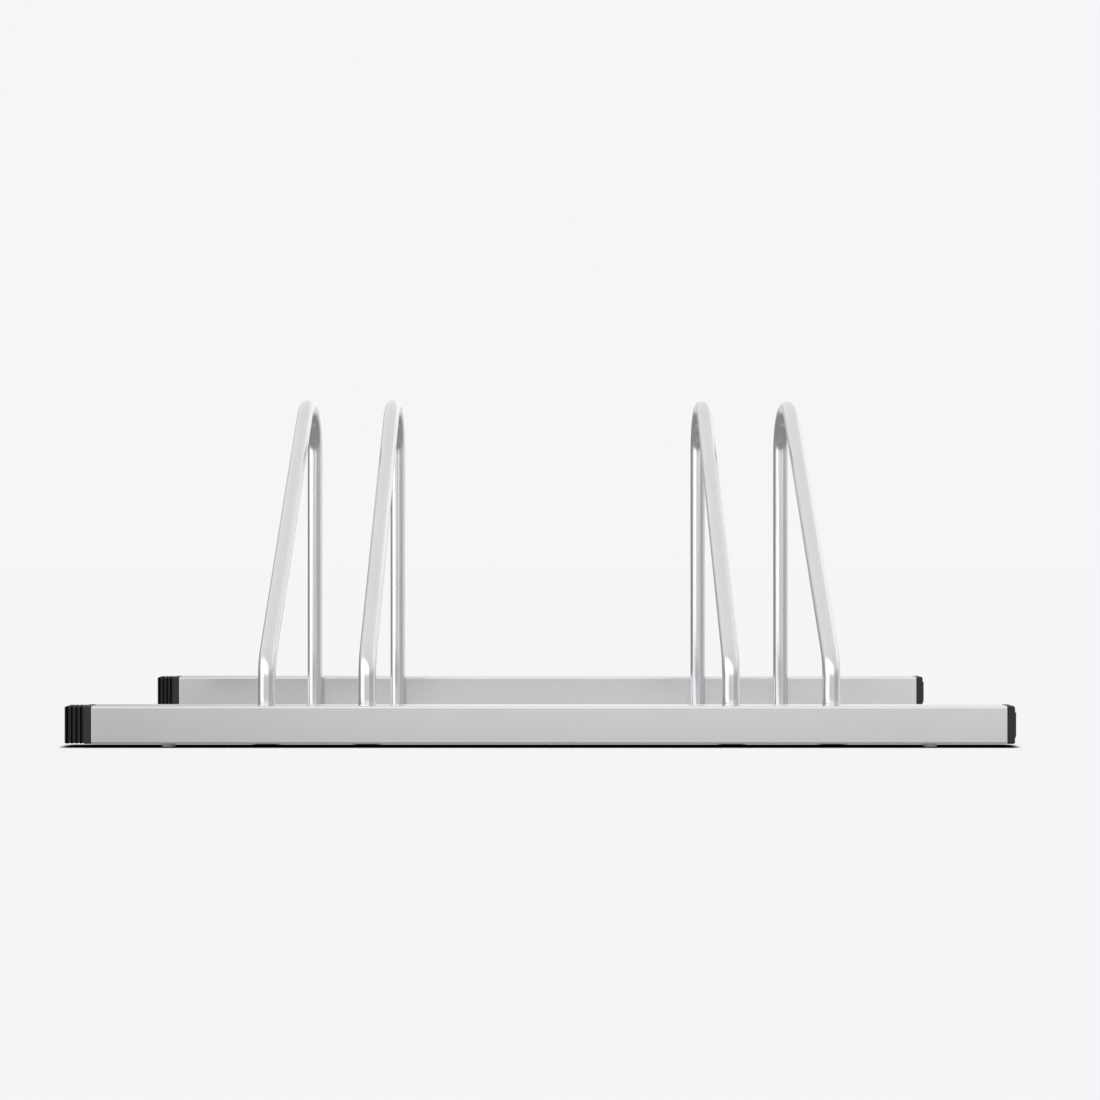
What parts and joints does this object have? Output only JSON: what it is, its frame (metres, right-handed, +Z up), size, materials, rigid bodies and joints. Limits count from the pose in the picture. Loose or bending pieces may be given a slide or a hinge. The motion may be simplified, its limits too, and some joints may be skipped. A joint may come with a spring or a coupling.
{
  "type": "floor bike rack",
  "caption": "Low floor rack for parking bicycles: parallel rectangular bars joined by bent tube hoops in pairs that hold the front wheels, with ribbed end joiners and pull-off caps.",
  "frame": {"origin": "on the floor, at the centre of the rack's overall length and depth", "axes": "+X along the bars towards the capped ends, +Y from the low side of the hoops to their upright side, +Z up"},
  "size_m": [1.0008, 0.441, 0.3984],
  "materials": {
    "silver_paint": "fine metallic silver powder coat, satin",
    "silver_tube": "smooth satin silver coat on bent round tube",
    "black_plastic": "moulded, fine matte grain",
    "grey_plastic": "moulded, satin"
  },
  "bodies": {
    "frame": {"front_bar": "silver_paint", "front_glide_1": "grey_plastic", "front_glide_2": "grey_plastic", "front_joiner": "black_plastic", "hoop_1": "silver_tube", "hoop_1_front_leg_plug": "black_plastic", "hoop_1_front_weld_left": "silver_paint", "hoop_1_front_weld_right": "silver_paint", "hoop_1_rear_leg_plug": "black_plastic", "hoop_1_rear_weld_left": "silver_paint", "hoop_1_rear_weld_right": "silver_paint", "hoop_2": "silver_tube", "hoop_2_front_leg_plug": "black_plastic", "hoop_2_front_weld_left": "silver_paint", "hoop_2_front_weld_right": "silver_paint", "hoop_2_rear_leg_plug": "black_plastic", "hoop_2_rear_weld_left": "silver_paint", "hoop_2_rear_weld_right": "silver_paint", "hoop_3": "silver_tube", "hoop_3_front_leg_plug": "black_plastic", "hoop_3_front_weld_left": "silver_paint", "hoop_3_front_weld_right": "silver_paint", "hoop_3_rear_leg_plug": "black_plastic", "hoop_3_rear_weld_left": "silver_paint", "hoop_3_rear_weld_right": "silver_paint", "hoop_4": "silver_tube", "hoop_4_front_leg_plug": "black_plastic", "hoop_4_front_weld_left": "silver_paint", "hoop_4_front_weld_right": "silver_paint", "hoop_4_rear_leg_plug": "black_plastic", "hoop_4_rear_weld_left": "silver_paint", "hoop_4_rear_weld_right": "silver_paint", "rear_bar": "silver_paint", "rear_glide_1": "grey_plastic", "rear_glide_2": "grey_plastic", "rear_joiner": "black_plastic"},
    "front_cap": {"front_end_cap": "black_plastic"},
    "rear_cap": {"rear_end_cap": "black_plastic"}
  },
  "joints": [
    {"name": "front_end_cap_pull", "type": "slide", "parent": "frame", "child": "front_cap", "axis": [1, 0, 0], "range_m": [0, 0.033]},
    {"name": "rear_end_cap_pull", "type": "slide", "parent": "frame", "child": "rear_cap", "axis": [1, 0, 0], "range_m": [0, 0.033]}
  ]
}
